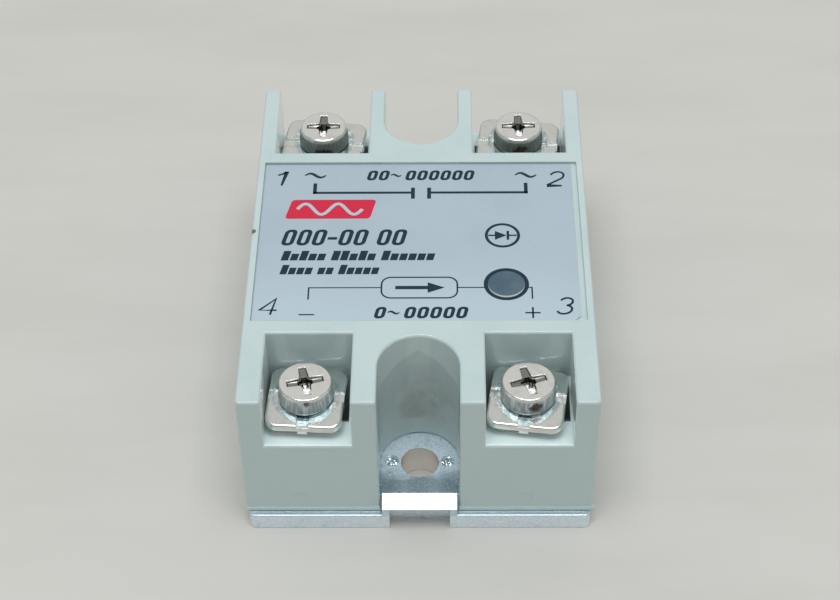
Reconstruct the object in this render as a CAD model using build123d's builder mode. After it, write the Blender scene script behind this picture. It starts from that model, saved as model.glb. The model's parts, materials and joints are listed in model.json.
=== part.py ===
from build123d import *
from math import cos, radians, sin
import os

# Solid state relay of the flat panel kind: a moulded housing on a metal base plate, four screw
# terminals in open pockets, and a potted circuit inside.
# Frame: origin at the centre of the base plate's underside, +Z up, -Y towards the input terminals.
# All sizes in millimetres.

# ---- driving dimensions ------------------------------------------------------------------------
PLATE_W = 44.3            # base plate, across X
PLATE_L = 62.5            # base plate, along Y
FLANGE_T = 2.5            # thin rim of the base plate
PLATE_T = 4.5             # raised middle of the base plate
HOUSING_W = 45.0          # housing, above the rim round its foot
HOUSING_L = 60.5
HOUSING_Z = 2.6           # lower edge of the housing
HOUSING_TOP = 23.25       # overall height
DRAFT = 0.1               # mould draft of the outer walls, degrees
WALL = 2.2                # outer wall thickness
FRONT_HOLE_Y = -24.0      # mounting hole, input end
REAR_SLOT_Y = 23.5        # mounting slot, output end: 47.5 from the hole
MOUNT_R = 2.5             # radius of the mounting hole and half width of the slot
WELL_R = 5.15             # round-ended wells that let the mounting screws through the housing
POCKET_FLOOR = 15.1
FIT = 0.15                # gap between parts dropped into one another
THREAD_R = 1.95           # M4 terminal screw, crest radius
THREAD_PITCH = 0.7

# Front (input) and rear (output) terminal rows. side is the sign of Y.
FRONT = {
    "side": -1, "screw_y": -23.95, "pocket_x": (8.35, 19.4), "pocket_y": 18.35,
    "strap_w": 8.6, "strap_t": 0.9, "strap_end": 27.9, "strap_root": 12.6,
    "clamp_w": 9.7, "clamp_l": 10.0, "clamp_t": 0.9, "clamp_corner": 1.5, "ridge": 0.75, "bend_r": 36.0,
    "groove_y": 0.0,
}
REAR = {
    "side": 1, "screw_y": 25.0, "pocket_x": (7.25, 20.2), "pocket_y": 16.4,
    "strap_w": 10.2, "strap_t": 1.6, "strap_end": 29.0, "strap_root": 11.2,
    "clamp_w": 11.5, "clamp_l": 9.2, "clamp_t": 0.85, "clamp_corner": 1.8, "ridge": 0.5, "bend_r": 48.0,
    "groove_y": -0.9,
}
# terminal number: row, screw's X, turn of the loose clamp plate, turn of the driver recess
TERMINALS = {
    1: (REAR, -14.05, -7.0, 0.0),
    2: (REAR, 13.9, -6.4, 1.5),
    3: (FRONT, 13.8, -8.0, 16.0),
    4: (FRONT, -14.25, -3.6, 12.5),
}

os.makedirs("parts", exist_ok=True)


def finish(piece, name):
    """Label a finished piece and write it."""
    piece.part.label = name
    export_step(piece.part, f"parts/{name}.step")


# ---- base plate --------------------------------------------------------------------------------
PLATFORM_W = HOUSING_W - 2 * WALL - 4 * FIT       # raised middle, inside the housing walls
PLATFORM_L = HOUSING_L - 2 * WALL - 4 * FIT
LAND_HALF_W = WELL_R - 2 * FIT                    # raised strip that runs out through each well
LAND_EDGE_Z = 3.7                                 # foot of the sloping end of the strip
LAND_SLOPE = 2.1                                  # length of the sloping end along Y
NOTCH_W = 7.8                                     # notch under the strip at the input end
NOTCH_DEPTH = 1.4
NOTCH_TOP = 3.45
DIMPLE_R = 0.92
DIMPLE_X = 3.7
DIMPLE_Y = FRONT_HOLE_Y + 0.3
DIMPLE_DEPTH = 0.35
PLATE_CORNER_R = 0.8
PLATE_EDGE_R = 0.15
PLATFORM_CORNER_R = 1.0

with BuildPart() as base_plate:
    with BuildSketch():
        RectangleRounded(PLATE_W, PLATE_L, PLATE_CORNER_R)
    extrude(amount=FLANGE_T)
    fillet(base_plate.faces().sort_by(Axis.Z)[-1].edges(), PLATE_EDGE_R)
    with BuildSketch(Plane.XY.offset(FLANGE_T / 2)):
        RectangleRounded(PLATFORM_W, PLATFORM_L, PLATFORM_CORNER_R)
    extrude(amount=PLATE_T - FLANGE_T / 2)
    # the raised strip with its two sloping ends, drawn from the side and pushed across X
    with BuildSketch(Plane.YZ):
        with BuildLine():
            Polyline(
                (-PLATE_L / 2, FLANGE_T / 2),
                (-PLATE_L / 2, LAND_EDGE_Z),
                (-PLATE_L / 2 + LAND_SLOPE, PLATE_T),
                (PLATE_L / 2 - LAND_SLOPE, PLATE_T),
                (PLATE_L / 2, LAND_EDGE_Z),
                (PLATE_L / 2, FLANGE_T / 2),
                close=True,
            )
        make_face()
    extrude(amount=LAND_HALF_W, both=True)
    with BuildSketch():
        with Locations((0, -PLATE_L / 2)):
            Rectangle(NOTCH_W, 2 * NOTCH_DEPTH)
    extrude(amount=NOTCH_TOP, mode=Mode.SUBTRACT)
    with Locations((0, FRONT_HOLE_Y, PLATE_T)):
        Hole(MOUNT_R, depth=PLATE_T)
    with BuildSketch():
        with Locations((0, REAR_SLOT_Y)):
            Circle(MOUNT_R)
        with Locations((0, REAR_SLOT_Y + MOUNT_R * 2)):
            Rectangle(2 * MOUNT_R, MOUNT_R * 4)
    extrude(amount=PLATE_T, mode=Mode.SUBTRACT)
    # two shallow stake marks beside the mounting hole
    with Locations((-DIMPLE_X, DIMPLE_Y, PLATE_T), (DIMPLE_X, DIMPLE_Y, PLATE_T)):
        Hole(DIMPLE_R, depth=DIMPLE_DEPTH)
finish(base_plate, "base_plate")

# ---- sealant bead between the flange and the housing -------------------------------------------
BEAD_INSET = 0.7          # the thin bead lies back from the outside edge, which leaves a fine seam

with BuildPart() as sealant_bead:
    with BuildSketch(Plane.XY.offset(FLANGE_T)):
        RectangleRounded(HOUSING_W - 4 * BEAD_INSET, HOUSING_L - 2 * BEAD_INSET, PLATFORM_CORNER_R)
        RectangleRounded(PLATFORM_W, PLATFORM_L, PLATFORM_CORNER_R, mode=Mode.SUBTRACT)
        Rectangle(2 * WELL_R, PLATE_L, mode=Mode.SUBTRACT)
    extrude(amount=HOUSING_Z - FLANGE_T)
finish(sealant_bead, "sealant_bead")

# ---- housing -----------------------------------------------------------------------------------
LABEL_W = 43.0            # label recess
LABEL_Y = (-16.2, 14.3)
LABEL_DEPTH = 0.5
CEILING = 21.2            # inside face of the top
CAVITY_X = HOUSING_W / 2 - WALL
CAVITY_Y = (-16.1, 14.3)
WINDOW_XY = (11.3, -9.4)
WINDOW_R = 2.4
NUT_SIDE = 7.0            # square M4 nut
NUT_T = 3.2
NUT_BOX_BOTTOM = 6.6
MARK_R = 0.85             # ejector marks on the end faces
MARK_X = (-15.3, 13.7)
MARK_Z = 5.1
MARK_DEPTH = 0.05
EDGE_R = 0.35
CORNER_R = 0.6            # upright corners of the housing
RIM_Z = 3.1               # a rim runs round the foot of the housing, up to this height
RIM_OUT = 0.18            # and stands out this far
RIM_TAPER = 10
NUT_GAP_X = 1.1           # the hollow beside a strap is this much wider than the strap
NUT_GAP_SHORT = 1.35      # and stops this far short of the nut's outer side
STRAP_SLOT_L = 6.0        # slot through the pocket's inner wall, measured across the wall
STRAP_FIT = 0.04          # gap round a strap in its slot
WINDOW_FIT = 0.05

with BuildPart() as housing:
    with BuildSketch(Plane.XY.offset(HOUSING_Z)):
        RectangleRounded(HOUSING_W, HOUSING_L, CORNER_R)
    extrude(amount=HOUSING_TOP - HOUSING_Z, taper=DRAFT)
    with BuildSketch(Plane.XY.offset(HOUSING_Z)):
        RectangleRounded(HOUSING_W + 2 * RIM_OUT, HOUSING_L + 2 * RIM_OUT, CORNER_R)
    extrude(amount=RIM_Z - HOUSING_Z, taper=RIM_TAPER)
    # terminal pockets, open to the top and to the ends
    for row in (FRONT, REAR):
        x_in, x_out = row["pocket_x"]
        length = HOUSING_L / 2 - row["pocket_y"] + 1
        with BuildSketch(Plane.XY.offset(POCKET_FLOOR)):
            for sign in (-1, 1):
                with Locations((sign * (x_in + x_out) / 2, row["side"] * (row["pocket_y"] + length / 2))):
                    Rectangle(x_out - x_in, length)
        extrude(amount=HOUSING_TOP - POCKET_FLOOR, mode=Mode.SUBTRACT)
    # wells for the mounting screws
    for y, side in ((FRONT_HOLE_Y, -1), (REAR_SLOT_Y, 1)):
        with BuildSketch(Plane.XY.offset(HOUSING_Z)):
            with Locations((0, y)):
                Circle(WELL_R)
            with Locations((0, y + side * WELL_R)):
                Rectangle(2 * WELL_R, 2 * WELL_R)
        extrude(amount=HOUSING_TOP - HOUSING_Z, mode=Mode.SUBTRACT)
    # round the top edges, and the edges where the pockets and wells open through the end faces
    end_edges = (
        housing.edges()
        .filter_by_position(Axis.Z, HOUSING_TOP / 2, HOUSING_TOP)
        .filter_by(lambda e: abs(e.center().Y) > HOUSING_L / 2 - EDGE_R and abs(e.center().X) < HOUSING_W / 2 - EDGE_R)
    )
    fillet(housing.faces().sort_by(Axis.Z)[-1].edges() + end_edges, EDGE_R)
    # recess for the label
    with BuildSketch(Plane.XY.offset(HOUSING_TOP - LABEL_DEPTH)):
        with Locations((0, sum(LABEL_Y) / 2)):
            Rectangle(LABEL_W, LABEL_Y[1] - LABEL_Y[0])
    extrude(amount=LABEL_DEPTH, mode=Mode.SUBTRACT)
    # circuit cavity, and the shallow space that fits over the base plate's raised middle
    with BuildSketch(Plane.XY.offset(HOUSING_Z)):
        with Locations((0, sum(CAVITY_Y) / 2)):
            Rectangle(2 * CAVITY_X, CAVITY_Y[1] - CAVITY_Y[0])
    extrude(amount=CEILING - HOUSING_Z, mode=Mode.SUBTRACT)
    with BuildSketch(Plane.XY.offset(HOUSING_Z)):
        RectangleRounded(PLATFORM_W + 2 * FIT, PLATFORM_L + 2 * FIT, PLATFORM_CORNER_R)
    extrude(amount=PLATE_T + FIT - HOUSING_Z, mode=Mode.SUBTRACT)
    # hollows for the terminal nuts, and slots that let the terminal straps into the cavity
    for row, x, _, _ in TERMINALS.values():
        side = row["side"]
        start = row["pocket_y"]
        nut_end = abs(row["screw_y"]) + NUT_SIDE / 2
        gap_end = nut_end - NUT_GAP_SHORT
        with BuildSketch(Plane.XY.offset(NUT_BOX_BOTTOM)):
            with Locations((x, side * (start + gap_end) / 2)):
                Rectangle(row["strap_w"] + 2 * NUT_GAP_X, gap_end - start)
            with Locations((x, side * (start + nut_end + FIT) / 2)):
                Rectangle(NUT_SIDE + 2 * FIT, nut_end + FIT - start)
        extrude(amount=POCKET_FLOOR - NUT_BOX_BOTTOM, mode=Mode.SUBTRACT)
        with BuildSketch(Plane.XY.offset(POCKET_FLOOR)):
            with Locations((x, side * start)):
                Rectangle(row["strap_w"] + 2 * STRAP_FIT, STRAP_SLOT_L)
        extrude(amount=row["strap_t"] + STRAP_FIT, mode=Mode.SUBTRACT)
    # hole over the status light
    with Locations((*WINDOW_XY, HOUSING_TOP)):
        Hole(WINDOW_R + WINDOW_FIT, depth=HOUSING_TOP - CEILING + 1)
    # faint round ejector marks on the end faces
    for side in (-1, 1):
        with BuildSketch(Plane.XZ.offset(-side * HOUSING_L / 2)):
            with Locations((MARK_X[0], MARK_Z), (MARK_X[1], MARK_Z)):
                Circle(MARK_R)
        extrude(amount=MARK_DEPTH, both=True, mode=Mode.SUBTRACT)
finish(housing, "housing")

# ---- face label and status window --------------------------------------------------------------
LABEL_T = 0.2
LABEL_CORNER = 0.9        # clipped corner of the label
LABEL_SIDE_GAP = 0.8      # the label was stuck on off centre, towards -X
LABEL_Z = HOUSING_TOP - LABEL_DEPTH

with BuildPart() as face_label:
    x_left = -LABEL_W / 2 + FIT
    x_right = LABEL_W / 2 - LABEL_SIDE_GAP
    y_front = LABEL_Y[0] + FIT
    y_rear = LABEL_Y[1] - FIT
    with BuildSketch(Plane.XY.offset(LABEL_Z)):
        with BuildLine():
            Polyline(
                (x_left, y_front),
                (x_right - LABEL_CORNER, y_front),
                (x_right, y_front + LABEL_CORNER),
                (x_right, y_rear),
                (x_left, y_rear),
                close=True,
            )
        make_face()
        with Locations(WINDOW_XY):
            Circle(WINDOW_R + WINDOW_FIT / 2, mode=Mode.SUBTRACT)
    extrude(amount=LABEL_T)
finish(face_label, "face_label")

WINDOW_T = 1.2
with BuildPart() as indicator_window:
    with BuildSketch(Plane.XY.offset(LABEL_Z + LABEL_T - WINDOW_T)):
        with Locations(WINDOW_XY):
            Circle(WINDOW_R)
    extrude(amount=WINDOW_T)
finish(indicator_window, "indicator_window")

# ---- screw terminals ---------------------------------------------------------------------------
HOLE_R = 2.1              # plain hole for the screw in the strap and the clamp plate
HEAD_R = 3.55             # cheese head
HEAD_H = 2.7
HEAD_DRAFT = 5.0          # the head narrows upwards by this angle, as cheese heads do
RECESS_SPAN = 4.6         # driver recess: overall span, wing width and depth
RECESS_WING = 1.05
RECESS_DEPTH = 1.7
HEAD_EDGE_R = 0.25
RECESS_TAPER = 12
SHANK_L = 9.6             # below the head
SHANK_TIP = 0.8           # plain length at each end of the thread
THREAD_DEPTH = 0.4
STRAP_CORNER_R = 0.8
NUT_CORNER_R = 0.4
NUT_BORE_R = THREAD_R + 0.06
NUT_CHAMFER = 0.25
CLAMP_EDGE_R = 0.3
GROOVE_W = 1.6            # crossed grooves on top of the clamp plate
GROOVE_DEPTH = 0.25
RIDGE_W = 1.2             # crossed ridges under it


def make_strap(name, row, x):
    """Flat terminal strap from the pocket into the circuit cavity."""
    length = row["strap_end"] - row["strap_root"]
    with BuildPart() as strap:
        with BuildSketch(Plane.XY.offset(POCKET_FLOOR)):
            with Locations((x, row["side"] * (row["strap_end"] + row["strap_root"]) / 2)):
                RectangleRounded(row["strap_w"], length, STRAP_CORNER_R)
            with Locations((x, row["screw_y"])):
                Circle(HOLE_R, mode=Mode.SUBTRACT)
        extrude(amount=row["strap_t"])
    finish(strap, name)


def make_nut(name, row, x):
    """Square nut held under the strap, in the hollow of the housing."""
    with BuildPart() as nut:
        with BuildSketch(Plane.XY.offset(POCKET_FLOOR - NUT_T)):
            with Locations((x, row["screw_y"])):
                RectangleRounded(NUT_SIDE, NUT_SIDE, NUT_CORNER_R)
                Circle(NUT_BORE_R, mode=Mode.SUBTRACT)
        extrude(amount=NUT_T)
        chamfer(nut.edges().filter_by(GeomType.CIRCLE).sort_by(SortBy.RADIUS)[-2:], NUT_CHAMFER)
    finish(nut, name)


def clamp_plane(row, x, turn):
    """Plane on top of the strap, under a clamp plate, turned with it."""
    centre = (x, row["screw_y"], POCKET_FLOOR + row["strap_t"])
    return Plane(centre, x_dir=(cos(radians(turn)), sin(radians(turn)), 0), z_dir=(0, 0, 1))


def make_clamp(name, row, x, turn):
    """Pressed clamp plate with crossed grooves on top and crossed ridges below.

    Its inner and outer ends are bent down, round cylinders that lie along the plate's own X.
    """
    plane = clamp_plane(row, x, turn)
    apex = row["ridge"] + row["clamp_t"]
    bend_r = row["bend_r"]
    bend_l = 2 * row["clamp_w"]
    lying = (0, 90, 0)
    with BuildPart() as groove:
        with BuildSketch(plane.offset(row["ridge"])):
            with Locations((0, row["groove_y"])):
                Rectangle(row["clamp_w"] + 1, GROOVE_W)
            Rectangle(GROOVE_W, row["clamp_l"] + 1)
        extrude(amount=row["clamp_t"] + 1)
        with Locations(plane.offset(apex - GROOVE_DEPTH - bend_r)):
            Cylinder(bend_r, bend_l, rotation=lying, mode=Mode.SUBTRACT)
    with BuildPart() as hollow:
        with BuildSketch(plane.offset(-1)):
            Rectangle(row["clamp_w"] + 1, row["clamp_l"] + 1)
        extrude(amount=row["ridge"] + 1)
        with Locations(plane.offset(row["ridge"] - bend_r)):
            Cylinder(bend_r, bend_l, rotation=lying, mode=Mode.INTERSECT)
        with BuildSketch(plane):
            Rectangle(row["clamp_w"] + 1, RIDGE_W)
            Rectangle(RIDGE_W, row["clamp_l"] + 1)
        extrude(amount=apex, mode=Mode.SUBTRACT)
    with BuildPart() as clamp:
        with BuildSketch(plane):
            RectangleRounded(row["clamp_w"], row["clamp_l"], row["clamp_corner"])
        extrude(amount=apex)
        with Locations(plane.offset(apex - bend_r)):
            Cylinder(bend_r, bend_l, rotation=lying, mode=Mode.INTERSECT)
        fillet(clamp.faces().sort_by(Axis.Z)[-1].edges(), CLAMP_EDGE_R)
        add(groove.part, mode=Mode.SUBTRACT)
        add(hollow.part, mode=Mode.SUBTRACT)
        with BuildSketch(plane):
            Circle(HOLE_R)
        extrude(amount=apex, mode=Mode.SUBTRACT)
    finish(clamp, name)


def make_screw(name, row, x, turn):
    """M4 screw: a drafted cheese head with a cross recess, and a shank with thread ridges."""
    y = row["screw_y"]
    z = POCKET_FLOOR + row["strap_t"] + row["ridge"] + row["clamp_t"]
    root_r = THREAD_R - THREAD_DEPTH
    plane = Plane((x, y, z))
    turned = Plane((x, y, z), x_dir=(cos(radians(turn)), sin(radians(turn)), 0), z_dir=(0, 0, 1))
    ridges = int((SHANK_L - 2 * SHANK_TIP) / THREAD_PITCH)
    with BuildPart() as screw:
        with BuildSketch(plane):
            Circle(HEAD_R)
        extrude(amount=HEAD_H, taper=HEAD_DRAFT)
        fillet(screw.faces().sort_by(Axis.Z)[-1].edges(), HEAD_EDGE_R)
        # shank profile, a zigzag from the head down to the tip, turned about the screw's axis
        with BuildSketch(Plane((x, y, z), x_dir=(1, 0, 0), z_dir=(0, -1, 0))):
            with BuildLine():
                points = [(0, 0), (root_r, 0), (root_r, -SHANK_TIP)]
                for i in range(ridges):
                    top = -SHANK_TIP - THREAD_PITCH * i
                    points.append((THREAD_R, top - THREAD_PITCH / 2))
                    points.append((root_r, top - THREAD_PITCH))
                points.append((root_r - THREAD_DEPTH, -SHANK_L))
                points.append((0, -SHANK_L))
                Polyline(*points, close=True)
            make_face()
        revolve(axis=Axis((x, y, z), (0, 0, 1)))
        # cross recess with sloping floors
        with BuildSketch(turned.offset(HEAD_H)):
            Rectangle(RECESS_SPAN, RECESS_WING)
            Rectangle(RECESS_WING, RECESS_SPAN)
        extrude(amount=-RECESS_DEPTH, taper=RECESS_TAPER, mode=Mode.SUBTRACT)
    finish(screw, name)


for number, (row, x, clamp_turn, recess_turn) in TERMINALS.items():
    make_strap(f"terminal_plate_{number}", row, x)
    make_nut(f"terminal_nut_{number}", row, x)
    make_clamp(f"clamp_plate_{number}", row, x, clamp_turn)
    make_screw(f"terminal_screw_{number}", row, x, recess_turn)

# ---- power triac on its ceramic wafer ----------------------------------------------------------
INSULATOR_W = 18.0
INSULATOR_L = 22.0
INSULATOR_T = 0.6
TRIAC_W = 15.6            # flat epoxy package with a copper tab underneath and three leads
TRIAC_L = 19.8
TRIAC_T = 4.8
TRIAC_Y = 1.5
TRIAC_Z = PLATE_T + INSULATOR_T
TAB_MARGIN = 0.9
TAB_T = 1.5
TRIAC_HOLE_R = 1.6
TRIAC_LEAD_PITCH = 5.45
TRIAC_LEAD_W = 1.2
TRIAC_LEAD_T = 0.6
TRIAC_LEAD_Y = TRIAC_Y - TRIAC_L / 2 - 2.4
TRIAC_LEAD_ROOT = 3.0     # how far the leads reach into the package
BOARD_T = 1.6
BOARD_TOP = POCKET_FLOOR  # the straps lie on the board
BOARD_BOTTOM = BOARD_TOP - BOARD_T
TAIL = 1.0                # leads stand out this far beyond the board

with BuildPart() as ceramic_wafer:
    with BuildSketch(Plane.XY.offset(PLATE_T)):
        with Locations((0, TRIAC_Y)):
            RectangleRounded(INSULATOR_W, INSULATOR_L, 0.5)
    extrude(amount=INSULATOR_T)
finish(ceramic_wafer, "ceramic_wafer")

triac_lead_spots = [(i * TRIAC_LEAD_PITCH, TRIAC_LEAD_Y) for i in (-1, 0, 1)]
with BuildPart() as triac_leadframe:
    with BuildSketch(Plane.XY.offset(TRIAC_Z)):
        with Locations((0, TRIAC_Y)):
            RectangleRounded(TRIAC_W - 2 * TAB_MARGIN, TRIAC_L - 2 * TAB_MARGIN, 0.6)
        with Locations((0, TRIAC_Y + TRIAC_L / 4)):
            Circle(TRIAC_HOLE_R, mode=Mode.SUBTRACT)
    extrude(amount=TAB_T)
    lead_z = TRIAC_Z + TRIAC_T / 2
    lead_start = TRIAC_Y - TRIAC_L / 2 + TRIAC_LEAD_ROOT
    for x, y in triac_lead_spots:
        with BuildSketch(Plane.YZ.offset(x)):
            with BuildLine():
                Polyline(
                    (lead_start, lead_z),
                    (lead_start, lead_z + TRIAC_LEAD_T),
                    (y + TRIAC_LEAD_T / 2, lead_z + TRIAC_LEAD_T),
                    (y + TRIAC_LEAD_T / 2, BOARD_TOP + TAIL),
                    (y - TRIAC_LEAD_T / 2, BOARD_TOP + TAIL),
                    (y - TRIAC_LEAD_T / 2, lead_z),
                    close=True,
                )
            make_face()
        extrude(amount=TRIAC_LEAD_W / 2, both=True)
finish(triac_leadframe, "triac_leadframe")

with BuildPart() as triac_body:
    with BuildSketch(Plane.XY.offset(TRIAC_Z)):
        with Locations((0, TRIAC_Y)):
            Rectangle(TRIAC_W, TRIAC_L)
    extrude(amount=TRIAC_T)
    chamfer(triac_body.faces().sort_by(Axis.Z)[-1].edges(), 0.5)
    with BuildSketch(Plane.XY.offset(TRIAC_Z)):
        with Locations((0, TRIAC_Y + TRIAC_L / 4)):
            Circle(TRIAC_HOLE_R)
    extrude(amount=TRIAC_T, mode=Mode.SUBTRACT)
    add(triac_leadframe.part, mode=Mode.SUBTRACT)
finish(triac_body, "triac_body")

# potting resin, poured over the base plate and around the triac
RESIN_TOP = 11.6
with BuildPart() as potting_resin:
    with BuildSketch(Plane.XY.offset(PLATE_T)):
        with Locations((0, sum(CAVITY_Y) / 2)):
            Rectangle(2 * CAVITY_X, CAVITY_Y[1] - CAVITY_Y[0])
    extrude(amount=RESIN_TOP - PLATE_T)
    for buried in (ceramic_wafer, triac_leadframe, triac_body):
        add(buried.part, mode=Mode.SUBTRACT)
finish(potting_resin, "potting_resin")

# ---- parts on the circuit board ----------------------------------------------------------------
LEAD_R = 0.3
LEAD_BEND = 0.7
PIN_W = 0.4               # square pins of the moulded parts
STAND_OFF = 0.3           # parts sit this far above the board

# axial parts lie along Y between two bent leads: x, y, body radius, body length, half lead span
AXIAL = {
    "input_resistor": (15.8, 1.5, 1.15, 6.3, 5.2),
    "bias_resistor": (11.8, 1.5, 1.15, 6.3, 5.2),
    "reverse_diode": (7.8, 1.5, 1.35, 5.2, 5.2),
    "gate_resistor": (-17.6, -4.5, 1.15, 6.3, 5.2),
    "snubber_resistor": (-8.2, 2.6, 1.9, 9.2, 6.4),
}
OPTO_XY = (0.0, -2.5)
OPTO_W = 6.4
OPTO_L = 8.6
OPTO_T = 3.4
OPTO_ROW = 7.62
PIN_PITCH = 2.54
TRANSISTOR_XY = (16.8, -8.0)
TRANSISTOR_R = 2.3
TRANSISTOR_FLAT = 1.4
TRANSISTOR_H = 4.4
CAPACITOR_XY = (-13.0, 4.0)
CAPACITOR_W = 4.4
CAPACITOR_L = 10.4
CAPACITOR_H = 5.4
CAPACITOR_PITCH = 7.5
VARISTOR_XY = (0.0, 6.2)
VARISTOR_R = 3.6
VARISTOR_T = 2.6
VARISTOR_PITCH = 5.0
VARISTOR_LEAD_Y = VARISTOR_XY[1] + VARISTOR_R + 0.9
LED_R = 1.5
LED_RIM_R = 1.85
LED_Z = BOARD_TOP + 1.6
LED_TOP = 21.4

round_lead_spots = []     # every place where a thin lead goes through the board


def make_axial(name, x, y, radius, length, span):
    """Round-bodied part with a lead out of each end, bent down through the board."""
    z = BOARD_TOP + STAND_OFF + radius
    foot = BOARD_BOTTOM - TAIL
    with BuildPart() as piece:
        with BuildLine():
            line = FilletPolyline(
                (x, y - span, foot), (x, y - span, z), (x, y + span, z), (x, y + span, foot),
                radius=LEAD_BEND,
            )
        with BuildSketch(Plane(origin=line @ 0, z_dir=line % 0)):
            Circle(LEAD_R)
        sweep()
        with BuildSketch(Plane((x, y - length / 2, z), x_dir=(1, 0, 0), z_dir=(0, 1, 0))):
            Circle(radius)
        extrude(amount=length)
        rims = piece.edges().filter_by(GeomType.CIRCLE).sort_by(SortBy.RADIUS)[-2:]
        fillet(rims, radius * 0.35)
    round_lead_spots.extend([(x, y - span), (x, y + span)])
    finish(piece, name)


for name, (x, y, radius, length, span) in AXIAL.items():
    make_axial(name, x, y, radius, length, span)

opto_pins = [
    (side * OPTO_ROW / 2, OPTO_XY[1] + i * PIN_PITCH) for side in (-1, 1) for i in (-1, 0, 1)
]
opto_z = BOARD_TOP + STAND_OFF
with BuildPart() as optocoupler_pins:
    pin_top = opto_z + OPTO_T / 2
    for x, y in opto_pins:
        side = 1 if x > 0 else -1
        with BuildSketch(Plane.XZ.offset(-y)):
            with BuildLine():
                Polyline(
                    (side * (OPTO_W / 2 - 0.8), pin_top),
                    (side * (OPTO_W / 2 - 0.8), pin_top + PIN_W),
                    (x + side * PIN_W / 2, pin_top + PIN_W),
                    (x + side * PIN_W / 2, BOARD_BOTTOM - TAIL),
                    (x - side * PIN_W / 2, BOARD_BOTTOM - TAIL),
                    (x - side * PIN_W / 2, pin_top),
                    close=True,
                )
            make_face()
        extrude(amount=PIN_W / 2, both=True)
round_lead_spots.extend(opto_pins)
finish(optocoupler_pins, "optocoupler_pins")

with BuildPart() as optocoupler:
    with BuildSketch(Plane.XY.offset(opto_z)):
        with Locations(OPTO_XY):
            Rectangle(OPTO_W, OPTO_L)
    extrude(amount=OPTO_T)
    chamfer(optocoupler.faces().sort_by(Axis.Z)[-1].edges(), 0.4)
    # index dimple beside the first pin
    with Locations((OPTO_XY[0] - OPTO_W / 2 + 1.5, OPTO_XY[1] + OPTO_L / 2 - 1.5, opto_z + OPTO_T)):
        Hole(0.5, depth=0.3)
    add(optocoupler_pins.part, mode=Mode.SUBTRACT)
finish(optocoupler, "optocoupler")

with BuildPart() as drive_transistor:
    x, y = TRANSISTOR_XY
    transistor_z = BOARD_TOP + 4 * STAND_OFF
    with BuildSketch(Plane.XY.offset(transistor_z)):
        with Locations((x, y)):
            Circle(TRANSISTOR_R)
        with Locations((x, y + TRANSISTOR_FLAT + TRANSISTOR_R)):
            Rectangle(4 * TRANSISTOR_R, 2 * TRANSISTOR_R, mode=Mode.SUBTRACT)
    extrude(amount=TRANSISTOR_H)
    pins = [(x + i * PIN_PITCH / 2, y) for i in (-1, 0, 1)]
    with BuildSketch(Plane.XY.offset(BOARD_BOTTOM - TAIL)):
        with Locations(*pins):
            Rectangle(PIN_W, PIN_W)
    extrude(amount=transistor_z - BOARD_BOTTOM + TAIL + 0.5)
    round_lead_spots.extend(pins)
finish(drive_transistor, "drive_transistor")

with BuildPart() as snubber_capacitor:
    x, y = CAPACITOR_XY
    with BuildSketch(Plane.XY.offset(BOARD_TOP + STAND_OFF)):
        with Locations((x, y)):
            RectangleRounded(CAPACITOR_W, CAPACITOR_L, 0.5)
    extrude(amount=CAPACITOR_H)
    fillet(snubber_capacitor.faces().sort_by(Axis.Z)[-1].edges(), 0.4)
    pins = [(x, y - CAPACITOR_PITCH / 2), (x, y + CAPACITOR_PITCH / 2)]
    with BuildSketch(Plane.XY.offset(BOARD_BOTTOM - TAIL)):
        with Locations(*pins):
            Circle(LEAD_R)
    extrude(amount=BOARD_T + TAIL + STAND_OFF + 0.5)
    round_lead_spots.extend(pins)
finish(snubber_capacitor, "snubber_capacitor")

with BuildPart() as varistor:
    x, y = VARISTOR_XY
    disc_z = BOARD_TOP + STAND_OFF
    for side in (-1, 1):
        lead_x = x + side * VARISTOR_PITCH / 2
        with BuildLine():
            line = FilletPolyline(
                (lead_x, VARISTOR_LEAD_Y, BOARD_BOTTOM - TAIL),
                (lead_x, VARISTOR_LEAD_Y, disc_z + VARISTOR_T / 2),
                (lead_x, y, disc_z + VARISTOR_T / 2),
                radius=LEAD_BEND,
            )
        with BuildSketch(Plane(origin=line @ 0, z_dir=line % 0)):
            Circle(LEAD_R)
        sweep()
        round_lead_spots.append((lead_x, VARISTOR_LEAD_Y))
    with BuildSketch(Plane.XY.offset(disc_z)):
        with Locations((x, y)):
            Circle(VARISTOR_R)
    extrude(amount=VARISTOR_T)
    fillet(varistor.edges().filter_by(GeomType.CIRCLE).sort_by(SortBy.RADIUS)[-2:], 0.8)
finish(varistor, "varistor")

with BuildPart() as status_led:
    with BuildSketch(Plane((*WINDOW_XY, 0), x_dir=(1, 0, 0), z_dir=(0, -1, 0))):
        with BuildLine():
            Polyline(
                (LED_R, LED_TOP - LED_R),
                (LED_R, LED_Z + 0.9),
                (LED_RIM_R, LED_Z + 0.9),
                (LED_RIM_R, LED_Z),
                (0, LED_Z),
                (0, LED_TOP),
            )
            CenterArc((0, LED_TOP - LED_R), LED_R, 0, 90)
        make_face()
    revolve(axis=Axis((*WINDOW_XY, 0), (0, 0, 1)))
    pins = [(WINDOW_XY[0] + side * PIN_PITCH / 2, WINDOW_XY[1]) for side in (-1, 1)]
    with BuildSketch(Plane.XY.offset(BOARD_BOTTOM - TAIL)):
        with Locations(*pins):
            Rectangle(PIN_W, PIN_W)
    extrude(amount=LED_Z - BOARD_BOTTOM + TAIL + 0.5)
    round_lead_spots.extend(pins)
finish(status_led, "status_led")

# ---- circuit board and its solder joints -------------------------------------------------------
DRILL_R = 0.42
SOLDER_R = 0.6
SOLDER_H = 0.6

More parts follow.
